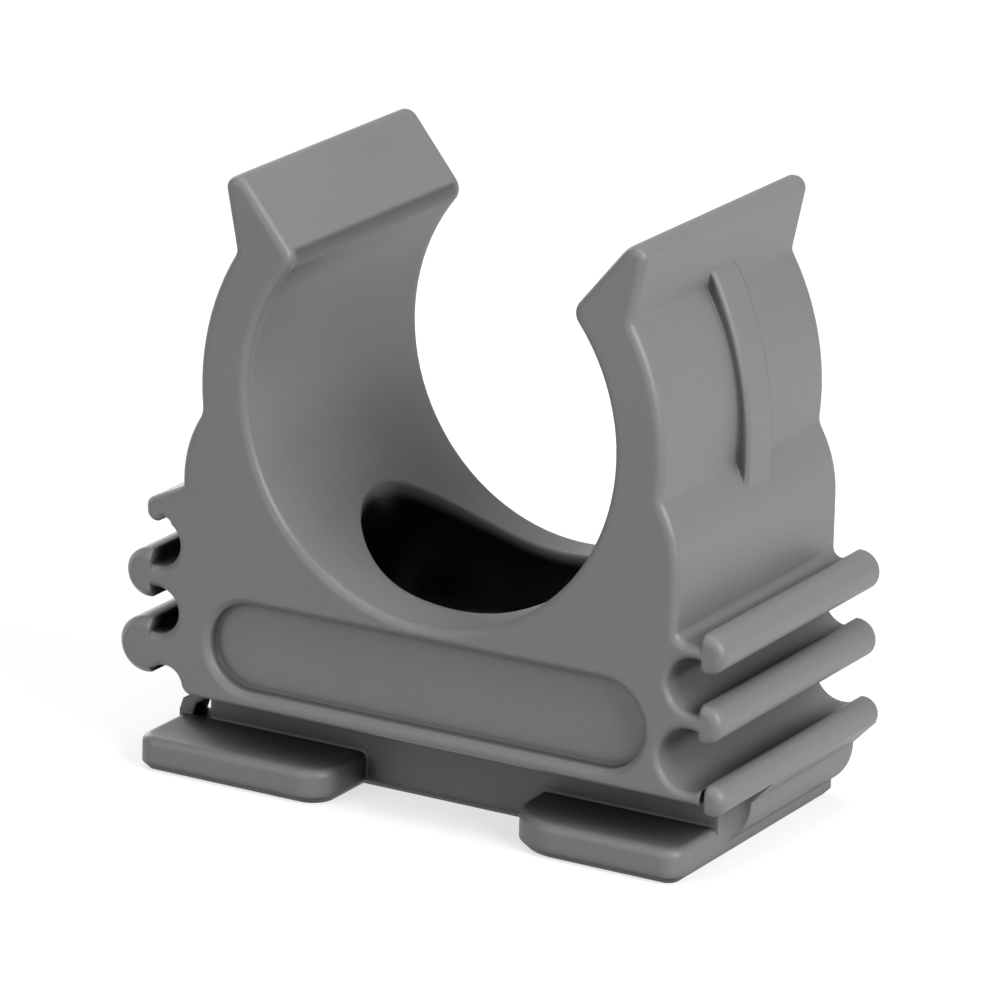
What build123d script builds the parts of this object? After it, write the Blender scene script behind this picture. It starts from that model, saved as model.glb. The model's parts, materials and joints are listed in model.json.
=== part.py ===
from build123d import *
from math import atan2, cos, radians, sin, sqrt, tan
import os

os.makedirs("parts", exist_ok=True)

# Conduit clip, one moulded piece, millimetres.
# X runs across the clip towards the next clip in a row, Y runs along the conduit,
# Z is up. The origin is on the screw hole's axis at the underside of the feet.

# Bore, arms and lips
bore_d = 20.0
bore_height = 20.2
arm_wall = 2.6
depth = 16.0
hole_from_front = 8.48
mouth_angle = 42.1
bevel_angle = 50.8
lip_rise = 0.3
lip_top_w = 1.1
mouth_r = 0.8
lip_inner_r = 0.7
lip_outer_r = 0.55
upper_notch_angle = 31.8
lower_notch_angle = -7.3
upper_notch_r = 0.5
lower_notch_r = 1.0
shoulder_out = 0.95
shoulder_drop = 5.0
edge_r = 0.4

# Crescent rib on each arm's outer face
arm_rib_w = 2.3
arm_rib_top_h = 0.75
arm_rib_mid_h = 0.48
arm_rib_end_h = 0.88
arm_rib_top_angle = 35.3
arm_rib_end_angle = -14.0
arm_rib_root = 0.4
arm_rib_edge = 0.16
arm_rib_round = 0.8

# Ribs that join clips in a row: out from the wall, up from the base, radius, and the
# distance from the centre in to the flat side
rib_gap = 2.9
right_ribs = [(1.55, 7.37, 1.0, 0.15), (1.52, 3.94, 0.97, 0.12), (2.0, 0.26, 0.77, 0.2)]
left_ribs = [(1.97, 5.72, 1.22, 0.25), (2.12, 2.05, 1.41, 0.4)]
right_rib_clearance = 0.22
left_rib_clearance = 0.15
rib_end_r = 0.45
rib_end_bevel = 0.35
groove_edge = 0.2
neck_edge = 0.25
top_neck_t = 0.66
neck_corner_r = 0.5
left_neck_up = 1.0

# Hook over the left ribs
hook_out = 2.03
hook_gap = 0.06
hook_tip_h = 1.05
hook_root_h = 2.03
hook_tip_r = 0.5
hook_relief_r = 0.35
hook_relief_drop = 0.1

# Base, slot and feet
base_bottom = 4.28
side_in = 1.0
base_corner_r = 0.6
lower_left_r = 0.6
bottom_edge = 0.15
back_edge = 0.3
slot_depth = 4.0
foot_t = 1.72
left_foot_len = 10.7
right_foot_len = 9.65
left_foot_inner_r = 1.5
right_foot_inner_r = 2.8
foot_outer_r = 0.9
foot_edge_r = 0.4
under_edge = 0.35
web_setback = 1.6
web_start_r = 0.8
web_knee_out = 0.88
web_bulge_out = 0.62
web_knee_z = 2.74
web_bulge_z = 1.6
web_foot_z = 0.81
stop_top_z = 2.75
stop_mid_z = 2.5
stop_side_z = 1.9
stop_top_in = 0.6
stop_mid_in = 0.2
stop_pocket_in = 0.75
stop_pocket_depth = 2.2
stop_pocket_h = 1.2
stop_pocket_w = 1.05
overlap = 1.0

# Recess in each face, screw pocket and screw hole
recess_side = 1.6
recess_margin = 0.735
recess_depth = 0.8
recess_rim = 0.3
screw_d = 5.5
pocket_len = 15.4
pocket_w = 10.6
pocket_floor_t = 1.5

# Sizes that follow from them
bore_r = bore_d / 2
outer_r = bore_r + arm_wall
wall = outer_r + shoulder_out
pitch = 2 * wall + rib_gap
top_z = bore_height + bore_r + lip_rise
front = -hole_from_front
back = front + depth
slot_back = front + slot_depth
web_front = slot_back + web_setback
right_side = wall + rib_gap / 2 - side_in
left_side = right_side - pitch
pocket_floor = base_bottom + pocket_floor_t
recess_low = base_bottom + recess_margin
recess_high = bore_height - bore_r - recess_margin


def on_circle(radius, angle):
    return (radius * cos(radians(angle)), bore_height + radius * sin(radians(angle)))


# Arm outline: mouth corner, bevelled lip, notch under the lip, notch over the shoulder
mouth = on_circle(bore_r, mouth_angle)
lip_in = (mouth[0] + (top_z - mouth[1]) / tan(radians(bevel_angle)), top_z)
lip_out = (lip_in[0] + lip_top_w, top_z)
notch_hi = on_circle(outer_r, upper_notch_angle)
notch_lo = on_circle(outer_r, lower_notch_angle)
shoulder_z = bore_height - shoulder_drop
shoulder_dx = wall - notch_lo[0]
shoulder_r = (shoulder_dx**2 + (notch_lo[1] - shoulder_z) ** 2) / (2 * shoulder_dx)
shoulder_c = (wall - shoulder_r, shoulder_z)
half_turn = atan2(notch_lo[1] - shoulder_z, notch_lo[0] - shoulder_c[0]) / 2
shoulder_mid = (shoulder_c[0] + shoulder_r * cos(half_turn), shoulder_c[1] + shoulder_r * sin(half_turn))

# Rib heads as (x, z, radius, inner flat side). Each side's grooves are the other
# side's heads one pitch away, plus the clearance.
right_heads = [(wall + out, base_bottom + up, r, wall + out - flat) for out, up, r, flat in right_ribs]
left_heads = [(-wall - out, base_bottom + up, r, -wall - out + flat) for out, up, r, flat in left_ribs]
left_grooves = [(x - pitch, z, r + right_rib_clearance) for x, z, r, flat in right_heads]
right_grooves = [(x + pitch, z, r + left_rib_clearance) for x, z, r, flat in left_heads]
neck_top = right_grooves[0][1] + right_grooves[0][2] + top_neck_t

# The hook's tip rests on the neighbour's top rib
hook_tip_x = -wall - hook_out
hook_tip_z = right_heads[0][1] + right_heads[0][2] + hook_gap
hook_outline = [
    (-wall + overlap, left_grooves[0][1]),
    (left_grooves[0][0], left_grooves[0][1]),
    (left_grooves[0][0], hook_tip_z),
    (hook_tip_x, hook_tip_z),
    (hook_tip_x, hook_tip_z + hook_tip_h),
    (-wall, hook_tip_z + hook_root_h),
    (-wall + overlap, hook_tip_z + hook_root_h),
]

# Web under the lowest right rib, and the same line one pitch away on the left
web_top = (right_heads[2][0] + right_heads[2][2] * 0.7, right_heads[2][1] - right_heads[2][2] * 0.7)
web_knee = (right_side + web_knee_out, web_knee_z)
web_bulge = (right_side + web_bulge_out, web_bulge_z)
web_foot = (right_side, web_foot_z)

with BuildPart() as rib_heads:
    with BuildSketch(Plane.XZ.offset(-back)):
        for x, z, r, flat in right_heads + left_heads:
            half = sqrt(r * r - (flat - x) ** 2)
            outer_x = x + r if x > 0 else x - r
            with BuildLine():
                ThreePointArc((flat, z - half), (outer_x, z), (flat, z + half))
                Line((flat, z + half), (flat, z - half))
            make_face()
    extrude(amount=depth)
    rims = rib_heads.faces().filter_by(Axis.Y).edges().filter_by(GeomType.CIRCLE)
    fillet(rims.filter_by_position(Axis.X, 0, pitch).filter_by_position(Axis.Y, 2 * front, 0), rib_end_r)
    rims = rib_heads.faces().filter_by(Axis.Y).edges().filter_by(GeomType.CIRCLE)
    right_back = rims.filter_by_position(Axis.X, 0, pitch).filter_by_position(Axis.Y, 0, 2 * back)
    chamfer(rims.filter_by_position(Axis.X, -pitch, 0) + right_back, rib_end_bevel)

with BuildPart() as arm_ribs:
    # From the lip to the shoulder, with a sharper front edge
    with BuildSketch(Plane.XZ.offset(-arm_rib_w / 2)):
        with BuildLine():
            crest = ThreePointArc(
                on_circle(outer_r + arm_rib_end_h, arm_rib_end_angle),
                on_circle(outer_r + arm_rib_mid_h, (arm_rib_top_angle + arm_rib_end_angle) / 2),
                on_circle(outer_r + arm_rib_top_h, arm_rib_top_angle),
            )
            Line(crest @ 1, on_circle(outer_r - arm_rib_root, arm_rib_top_angle))
            ThreePointArc(
                on_circle(outer_r - arm_rib_root, arm_rib_top_angle),
                on_circle(outer_r - arm_rib_root, (arm_rib_top_angle + arm_rib_end_angle) / 2),
                on_circle(outer_r - arm_rib_root, arm_rib_end_angle),
            )
            Line(on_circle(outer_r - arm_rib_root, arm_rib_end_angle), crest @ 0)
        make_face()
    extrude(amount=arm_rib_w)
    top_end = arm_ribs.faces().sort_by(Axis.Z)[-1]
    fillet(top_end.edges().filter_by(Axis.Y, reverse=True).sort_by(Axis.Y)[-1], arm_rib_round)
    ridges = arm_ribs.edges().filter_by(GeomType.CIRCLE).sort_by(Axis.X)[-2:].sort_by(Axis.Y)
    chamfer(ridges[0], arm_rib_edge)
    mirror(about=Plane.YZ)

with BuildPart() as web:
    with BuildSketch(Plane.XZ.offset(-back)):
        with BuildLine():
            ThreePointArc(web_foot, web_bulge, web_knee)
            Polyline(web_knee, web_top, right_heads[2][:2], (right_side - overlap, base_bottom), web_foot)
        make_face()
    extrude(amount=back - web_front + web_start_r)
    with BuildSketch(Plane.XY):
        with Locations((right_side + web_start_r, web_front - web_start_r)):
            Circle(web_start_r)
            Rectangle(rib_gap, web_start_r, align=(Align.MIN, Align.MIN))
    extrude(amount=bore_height, mode=Mode.SUBTRACT)

with BuildPart() as base:
    # Base behind the slot, with the stop on its left end
    with BuildSketch(Plane.XZ.offset(-back)):
        with BuildLine():
            Polyline(
                (left_side, 0),
                (right_side, 0),
                (right_side, base_bottom),
                (-wall + lower_left_r, base_bottom),
                (left_side + stop_top_in, stop_top_z),
                (left_side + stop_mid_in, stop_mid_z),
                (left_side, stop_side_z),
                close=True,
            )
        make_face()
    extrude(amount=back - slot_back)
    fillet(base.edges().filter_by(Axis.Z).group_by(Axis.Y)[-1], base_corner_r)
    # Channel behind the stop for the neighbour's web
    with BuildSketch(Plane.XZ.offset(-back)):
        with BuildLine():
            ThreePointArc(*[(x - pitch, z) for x, z in (web_foot, web_bulge, web_knee)])
            Polyline(
                (web_knee[0] - pitch, web_knee[1]),
                (web_top[0] - pitch, web_top[1]),
                (web_top[0] - pitch, base_bottom + overlap),
                (left_side - overlap, base_bottom + overlap),
                (left_side - overlap, web_foot[1]),
                (web_foot[0] - pitch, web_foot[1]),
            )
        make_face()
        offset(amount=right_rib_clearance)
    extrude(amount=back - web_front + right_rib_clearance, mode=Mode.SUBTRACT)
    # Pocket in the stop's front
    with BuildSketch(Plane.XZ.offset(-slot_back - stop_pocket_depth)):
        with BuildLine():
            Polyline(
                (left_side + stop_pocket_in, foot_t),
                (left_side + stop_pocket_in + stop_pocket_w, foot_t),
                (left_side + stop_pocket_in + stop_pocket_w, foot_t + stop_pocket_h),
                (left_side + stop_pocket_in + stop_mid_in, foot_t + stop_pocket_h / 2),
                close=True,
            )
        make_face()
    extrude(amount=stop_pocket_depth, mode=Mode.SUBTRACT)
    chamfer(base.faces().sort_by(Axis.Z)[0].edges(), under_edge)

with BuildPart() as feet:
    with BuildSketch(Plane.XY):
        with Locations((left_side, front)):
            Rectangle(left_foot_len, slot_depth + overlap, align=Align.MIN)
        with Locations((right_side, front)):
            Rectangle(right_foot_len, slot_depth + overlap, align=(Align.MAX, Align.MIN))
    extrude(amount=foot_t)
    for corner_x, radius in (
        (left_side, foot_outer_r),
        (left_side + left_foot_len, left_foot_inner_r),
        (right_side - right_foot_len, right_foot_inner_r),
        (right_side, foot_outer_r),
    ):
        fillet(feet.edges().filter_by(Axis.Z).sort_by_distance((corner_x, front, foot_t / 2))[0], radius)
    rims = feet.faces().sort_by(Axis.Z)[-1].edges() + feet.faces().sort_by(Axis.Z)[-2].edges()
    fillet(rims.filter_by_position(Axis.Y, front - overlap, slot_back + overlap / 2), foot_edge_r)
    rims = feet.faces().sort_by(Axis.Z)[0].edges() + feet.faces().sort_by(Axis.Z)[1].edges()
    chamfer(rims.filter_by_position(Axis.Y, front - overlap, slot_back + overlap / 2), under_edge)

with BuildPart() as clip_body:
    # Body with its two sprung arms: the right half and its mirror image
    with BuildSketch(Plane.XZ.offset(-back)) as section:
        with BuildLine():
            Line((0, base_bottom), (wall, base_bottom))
            Line((wall, base_bottom), (wall, shoulder_z))
            ThreePointArc((wall, shoulder_z), shoulder_mid, notch_lo)
            RadiusArc(notch_lo, notch_hi, -outer_r)
            Line(notch_hi, lip_out)
            Line(lip_out, lip_in)
            Line(lip_in, mouth)
            ThreePointArc(mouth, on_circle(bore_r, (mouth_angle - 90) / 2), (0, bore_height - bore_r))
            Line((0, bore_height - bore_r), (0, base_bottom))
        make_face()
        for corner, radius in (
            (mouth, mouth_r),
            (lip_in, lip_inner_r),
            (lip_out, lip_outer_r),
            (notch_hi, upper_notch_r),
            (notch_lo, lower_notch_r),
        ):
            fillet(section.vertices().sort_by_distance((*corner, 0))[0], radius)
        mirror(about=Plane.YZ)
        # Necks that carry the ribs, with the grooves between them
        with BuildLine():
            Polyline(
                (wall - overlap, base_bottom),
                (right_heads[0][0], base_bottom),
                (right_heads[0][0], neck_top),
                (wall - overlap, neck_top),
                close=True,
            )
        make_face()
        with BuildLine():
            Polyline(
                (-wall + overlap, left_grooves[2][1]),
                (left_grooves[2][0], left_grooves[2][1]),
                (left_grooves[2][0], base_bottom + left_neck_up),
                (left_heads[0][0], base_bottom + left_neck_up),
                (left_heads[0][0], left_grooves[0][1]),
                (-wall + overlap, left_grooves[0][1]),
                close=True,
            )
        make_face()
        with BuildLine():
            Polyline(*hook_outline, close=True)
        make_face()
        for corner in hook_outline[3:5]:
            fillet(section.vertices().sort_by_distance((*corner, 0))[0], hook_tip_r)
        for x, z, r in left_grooves + right_grooves:
            with Locations((x, z)):
                Circle(r, mode=Mode.SUBTRACT)
        with Locations((hook_tip_x + 2 * hook_tip_r, hook_tip_z - hook_relief_drop)):
            Circle(hook_relief_r, mode=Mode.SUBTRACT)
        with Locations((hook_tip_x + hook_tip_r, hook_tip_z + hook_tip_r)):
            Circle(hook_tip_r)
        fillet(section.vertices().sort_by_distance((wall, neck_top, 0))[0], neck_corner_r)
        lower_left = (left_grooves[2][0] + left_grooves[2][2], base_bottom, 0)
        fillet(section.vertices().sort_by_distance(lower_left)[0], lower_left_r)
    extrude(amount=depth)
    # Rims: rounded in front and bevelled at the back, then the hook, the necks and the grooves
    fillet(clip_body.edges().sort_by_distance((0, front, bore_height - bore_r))[0], edge_r)
    chamfer(clip_body.edges().sort_by_distance((0, back, bore_height - bore_r))[0], back_edge)
    chamfer(clip_body.edges().sort_by_distance((0, front, base_bottom))[0], bottom_edge)
    for end in (front, back):
        rims = clip_body.edges().filter_by_position(Axis.Y, end - 0.01, end + 0.01)
        rims = rims.filter_by_position(Axis.Z, left_heads[1][1], hook_tip_z + hook_root_h)
        chamfer(rims.filter_by_position(Axis.X, left_heads[0][0] + 0.01, -wall + groove_edge), neck_edge)
        rims = clip_body.edges().filter_by(GeomType.CIRCLE).filter_by_position(Axis.Y, end - 0.01, end + 0.01)
        rims = rims.filter_by_position(Axis.Z, base_bottom + overlap, right_heads[0][1])
        chamfer(rims.filter_by_position(Axis.X, bore_r, wall), groove_edge)
    for piece in (rib_heads, arm_ribs, web, base, feet):
        add(piece.part)
    # Shallow recess with round ends in the front and back faces
    for end in (front, back):
        with BuildSketch(Plane.XZ.offset(-end)):
            with Locations((0, (recess_low + recess_high) / 2)):
                SlotOverall(2 * (wall - recess_side), recess_high - recess_low)
        extrude(amount=recess_depth if end > 0 else -recess_depth, mode=Mode.SUBTRACT)
    chamfer(clip_body.edges().sort_by_distance((0, front, recess_low))[0], recess_rim)
    # Screw pocket in the floor of the bore, and the screw hole
    with BuildSketch(Plane.XY.offset(pocket_floor)):
        SlotOverall(pocket_len, pocket_w)
    extrude(amount=bore_height - pocket_floor, mode=Mode.SUBTRACT)
    with Locations((0, 0, pocket_floor)):
        Hole(screw_d / 2)
clip_body.part.label = "clip_body"
export_step(clip_body.part, "parts/clip_body.step")
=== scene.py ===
import json
import math

import bmesh
import bpy
from mathutils import Matrix, Vector

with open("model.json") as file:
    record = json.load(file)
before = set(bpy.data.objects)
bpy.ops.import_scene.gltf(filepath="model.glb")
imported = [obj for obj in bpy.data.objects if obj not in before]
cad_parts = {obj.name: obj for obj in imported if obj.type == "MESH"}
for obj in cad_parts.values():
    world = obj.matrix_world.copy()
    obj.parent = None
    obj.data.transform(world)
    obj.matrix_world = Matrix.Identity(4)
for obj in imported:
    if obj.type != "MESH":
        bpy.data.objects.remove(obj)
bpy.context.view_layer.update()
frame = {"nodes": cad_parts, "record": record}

# Bore, mouth and screw pocket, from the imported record, in metres
record = frame["record"]
openings = {gap["name"]: gap["box_m"] for gap in record["physics"]["openings"]}
seat = next(mount for mount in record["mounts"] if mount["name"] == "conduit_seat")
bore_height = seat["pos_m"][2]
bore_r = seat["dims"]["r_mm"] / 1000
middle_y = seat["pos_m"][1]
half_depth = seat["dims"]["length_mm"] / 2000
pocket_low, pocket_high = openings["screw_pocket"]
lip_clearance = 0.0006
mouth_half = openings["mouth"][1][0] + lip_clearance
mouth_height = bore_height + math.sqrt(bore_r**2 - mouth_half**2)

# Painted shade under the lips: a narrow crease and a wide fade, and where both stop at the bore's rims and
# bevels
crease_shade_strength = 0.30
crease_span = (mouth_height - 0.0024, mouth_height - 0.0004)
fade_shade_strength = 0.28
fade_span = (mouth_height - 0.0095, mouth_height - 0.0030)
rim_span = (half_depth - 0.0008, half_depth - 0.0003)
bevel_span = (0.0004, 0.0007)

# Painted shade on the walls of the screw pocket: where it starts and ends, how dark it is, and how much
# smoother the walls are
below_bore_span = (-0.0001, 0.0007)
wall_end_span = (pocket_high[0] + 0.0029, pocket_high[0] + 0.0033)
wall_side_span = (pocket_high[1] + 0.0012, pocket_high[1] + 0.0017)
wall_foot_span = (pocket_low[2] - 0.0003, pocket_low[2] + 0.0005)
wall_top_span = (bore_height - 0.004, bore_height - 0.003)
wall_shade_strength = 0.985
wall_smoothing = 0.22

# Flow clouds, specks and grain: scale, detail and roughness of each noise
cloud_noise = (90.0, 3.0, 0.5)
speck_noise = (1500.0, 2.0, 0.5)
grain_noise = (5200.0, 4.0, 0.6)

# Grey of the plastic, and how much the clouds and specks change it
grey = 0.160
cloud_depth = 0.030
speck_depth = 0.012
green_share = 1.005
blue_share = 1.01

# Painted shade in crevices and corners: how far each term looks for a neighbouring surface, and the least share
# of the grey left there
crevice_reach = 0.009
crevice_span = (0.08, 0.48)
crevice_shade_least = 0.03
corner_reach = 0.0012
corner_span = (0.42, 0.88)
corner_shade_least = 0.35

# Roughness: its middle value, how much the clouds and the grain change it, and its limits
middle_rough = 0.42
rough_clouds = 0.16
rough_grain = 0.10
rough_limits = (0.2, 0.9)
specular = 0.42

# Relief: share of the grain and the specks in it, and the softening of the rims
grain_height = 0.7
speck_height = 0.5
relief_strength = 0.10
relief_depth = 0.00004
rim_r = 0.00028
edge_samples = 8

# Floor and light
floor_grey = 0.40
floor_glow = 0.66
glossy_share = 0.5
floor_drop = 0.00002
aim = (0.0, 0.0, 0.014)

# Camera: its angles in degrees, and its place along its own axes
angles = (29.7545, 17.5366, 1.42)
lens = 271.246
distance = 0.36509
aside = -0.0001157
above = 0.0137483


# Shader maths
class Value:
    """A socket of a node tree, with the arithmetic that the finishes use."""

    def __init__(self, tree, socket=None):
        self.tree = tree
        self.socket = socket

    def node(self, kind, settings=(), **inputs):
        """Add a node. Its inputs go by name, with _ for a space, or by place as i0, i1 and i2."""
        made = self.tree.nodes.new(kind)
        for name, setting in dict(settings).items():
            setattr(made, name, setting)
        for name, given in inputs.items():
            by_place = name[0] == "i" and name[1:].isdigit()
            socket = made.inputs[int(name[1:]) if by_place else name.replace("_", " ")]
            if isinstance(given, Value):
                self.tree.links.new(given.socket, socket)
            else:
                socket.default_value = given
        return made

    def out(self, made, name=0):
        return Value(self.tree, made.outputs[name])

    def math(self, operation, first, second=0.0):
        return self.out(self.node("ShaderNodeMath", {"operation": operation}, i0=first, i1=second))

    def __add__(self, other):
        return self.math("ADD", self, other)

    def __radd__(self, other):
        return self.math("ADD", other, self)

    def __sub__(self, other):
        return self.math("SUBTRACT", self, other)

    def __rsub__(self, other):
        return self.math("SUBTRACT", other, self)

    def __mul__(self, other):
        return self.math("MULTIPLY", self, other)

    def __rmul__(self, other):
        return self.math("MULTIPLY", other, self)

    def clamp(self, low=0.0, high=1.0):
        return self.math("MINIMUM", self.math("MAXIMUM", self, low), high)

    def band(self, low, high):
        """0 below low, 1 above high, smooth between."""
        smooth = {"interpolation_type": "SMOOTHSTEP"}
        return self.out(self.node("ShaderNodeMapRange", smooth, i0=self, i1=low, i2=high))

    def noise(self, place, scale, detail, roughness):
        made = self.node(
            "ShaderNodeTexNoise", {"noise_dimensions": "3D"},
            Vector=place, Scale=scale, Detail=detail, Roughness=roughness,
        )
        return self.out(made)

    def openness(self, reach):
        """1 on open surface, less in a crevice narrower than the reach."""
        made = self.node("ShaderNodeAmbientOcclusion", {"samples": edge_samples}, Distance=reach)
        return self.out(made, "AO")


def new_finish(name):
    made = bpy.data.materials.new(name)
    made.use_nodes = True
    made.node_tree.nodes.clear()
    return made, Value(made.node_tree)


# The clip's finish
def painted_shade_under_lips(tree, y, z, past_bore):
    """How much painted shade darkens the bore under the lips, fading down the bore and towards its rims."""
    near = 1.0 - past_bore.band(*bevel_span)
    inside = 1.0 - tree.math("ABSOLUTE", y - middle_y).band(*rim_span)
    return near * inside * (z.band(*crease_span) * crease_shade_strength + z.band(*fade_span) * fade_shade_strength)


def pocket_wall_shade_mask(tree, x, y, z, past_bore):
    """1 on the deep walls of the screw pocket, where shade is painted, 0 at its rim, on its floor and
    everywhere else.
    """
    return (
        past_bore.band(*below_bore_span)
        * (1.0 - tree.math("ABSOLUTE", x).band(*wall_end_span))
        * (1.0 - tree.math("ABSOLUTE", y).band(*wall_side_span))
        * z.band(*wall_foot_span)
        * (1.0 - z.band(*wall_top_span))
    )


def moulded_plastic():
    """Grey moulded plastic: fine matt grain, faint flow clouds, slightly uneven gloss, and painted shade in
    crevices, on the screw pocket's walls and under the lips.
    """
    made, tree = new_finish("moulded_plastic")
    place = tree.out(tree.node("ShaderNodeTexCoord"), "Object")
    clouds = tree.noise(place, *cloud_noise)
    speck = tree.noise(place, *speck_noise)
    grain = tree.noise(place, *grain_noise)

    axes = tree.node("ShaderNodeSeparateXYZ", Vector=place)
    x, y, z = (tree.out(axes, axis) for axis in "XYZ")
    rise = z - bore_height
    past_bore = tree.math("SQRT", x * x + rise * rise) - bore_r
    # Mask of the screw pocket's deep walls, where shade is painted and the roughness drops
    painted_pocket_shade = pocket_wall_shade_mask(tree, x, y, z, past_bore)

    # Painted shade: ambient occlusion darkens the grey in crevices and corners
    crevice = tree.openness(crevice_reach).band(*crevice_span)
    corner = tree.openness(corner_reach).band(*corner_span)
    shade = grey + (clouds - 0.5) * cloud_depth + (speck - 0.5) * speck_depth
    # Painted shade in crevices and on the screw pocket's deep walls
    shade = shade * (crevice_shade_least + (1.0 - crevice_shade_least) * crevice) * (1.0 - wall_shade_strength * painted_pocket_shade)
    shade = shade * (corner_shade_least + (1.0 - corner_shade_least) * corner)
    # Painted shade under the lips of the bore
    shade = shade * (1.0 - painted_shade_under_lips(tree, y, z, past_bore))
    colour = tree.out(tree.node(
        "ShaderNodeCombineColor", {"mode": "RGB"},
        Red=shade, Green=shade * green_share, Blue=shade * blue_share,
    ))

    rough = middle_rough + (clouds - 0.5) * rough_clouds + (grain - 0.5) * rough_grain
    rough = (rough - wall_smoothing * painted_pocket_shade).clamp(*rough_limits)
    soft_rim = tree.out(tree.node("ShaderNodeBevel", {"samples": edge_samples}, Radius=rim_r))
    height = grain * grain_height + speck * speck_height
    relief = tree.out(tree.node(
        "ShaderNodeBump", Strength=relief_strength, Distance=relief_depth, Height=height, Normal=soft_rim,
    ))
    surface = tree.node(
        "ShaderNodeBsdfPrincipled",
        Base_Color=colour, Roughness=rough, Normal=relief, Specular_IOR_Level=specular,
    )
    tree.node("ShaderNodeOutputMaterial", Surface=tree.out(surface))
    return made


for node in frame["nodes"].values():
    node.data.materials.clear()
    node.data.materials.append(moulded_plastic())


# Floor and backdrop
def watched(tree, glossy=1.0):
    """1 for rays from the camera or through glass, and a share of the glossy ones."""
    rays = tree.node("ShaderNodeLightPath")
    seen = tree.out(rays, "Is Camera Ray") + tree.out(rays, "Is Glossy Ray") * glossy
    return (seen + tree.out(rays, "Is Transmission Ray")).clamp()


def studio_floor():
    """Plain paper that keeps the shadow. The camera and reflections see its glow, diffuse light doesn't."""
    made, tree = new_finish("studio_floor")
    paper = tree.out(tree.node("ShaderNodeBsdfDiffuse", Color=(floor_grey, floor_grey, floor_grey, 1.0)))
    glow = tree.out(tree.node(
        "ShaderNodeEmission", Color=(1.0, 1.0, 1.0, 1.0), Strength=watched(tree) * floor_glow,
    ))
    both = tree.out(tree.node("ShaderNodeAddShader", i0=paper, i1=glow))
    tree.node("ShaderNodeOutputMaterial", Surface=both)
    return made


sheet = bmesh.new()
bmesh.ops.create_grid(sheet, x_segments=1, y_segments=1, size=2.0)
floor_mesh = bpy.data.meshes.new("floor")
sheet.to_mesh(floor_mesh)
sheet.free()
floor = bpy.data.objects.new("floor", floor_mesh)
floor.location = (0.0, 0.0, -floor_drop)
floor.data.materials.append(studio_floor())
bpy.context.collection.objects.link(floor)

world = bpy.data.worlds.new("studio")
bpy.context.scene.world = world
world.use_nodes = True
world.node_tree.nodes.clear()
sky = Value(world.node_tree)
backdrop = sky.node("ShaderNodeBackground", Color=(1.0, 1.0, 1.0, 1.0), Strength=watched(sky, glossy_share))
sky.node("ShaderNodeOutputWorld", Surface=sky.out(backdrop))


# Soft studio light
def softbox(name, place, size, power):
    lamp = bpy.data.lights.new(name, "AREA")
    lamp.shape = "SQUARE"
    lamp.size = size
    lamp.energy = power
    made = bpy.data.objects.new(name, lamp)
    made.location = place
    made.rotation_euler = (Vector(aim) - Vector(place)).to_track_quat("-Z", "Y").to_euler()
    bpy.context.collection.objects.link(made)


softbox("right_softbox", place=(0.42, -0.10, 0.26), size=0.30, power=3.0)
softbox("top_softbox", place=(0.0, -0.02, 0.50), size=0.40, power=1.50)
softbox("front_softbox", place=(-0.14, -0.50, 0.22), size=0.40, power=1.25)
softbox("left_softbox", place=(-0.40, 0.26, 0.16), size=0.30, power=1.4)

# Camera, at the photograph's angle
turn, tilt, roll = (math.radians(angle) for angle in angles)
away = Vector((math.sin(turn) * math.cos(tilt), -math.cos(turn) * math.cos(tilt), math.sin(tilt)))
level = Vector((math.cos(turn), math.sin(turn), 0.0))
upward = away.cross(level)
right = math.cos(roll) * level + math.sin(roll) * upward
top = -math.sin(roll) * level + math.cos(roll) * upward
camera = bpy.data.objects.new("camera", bpy.data.cameras.new("camera"))
camera.data.sensor_width = 36.0
camera.data.lens = lens
camera.data.clip_start = 0.02
camera.data.clip_end = 10.0
spot = Vector((0.0, middle_y, 0.0)) + away * distance + right * aside + top * above
camera.matrix_world = Matrix.Translation(spot) @ Matrix((right, top, away)).transposed().to_4x4()
bpy.context.collection.objects.link(camera)
bpy.context.scene.camera = camera

bpy.context.scene.view_settings.view_transform = "Standard"
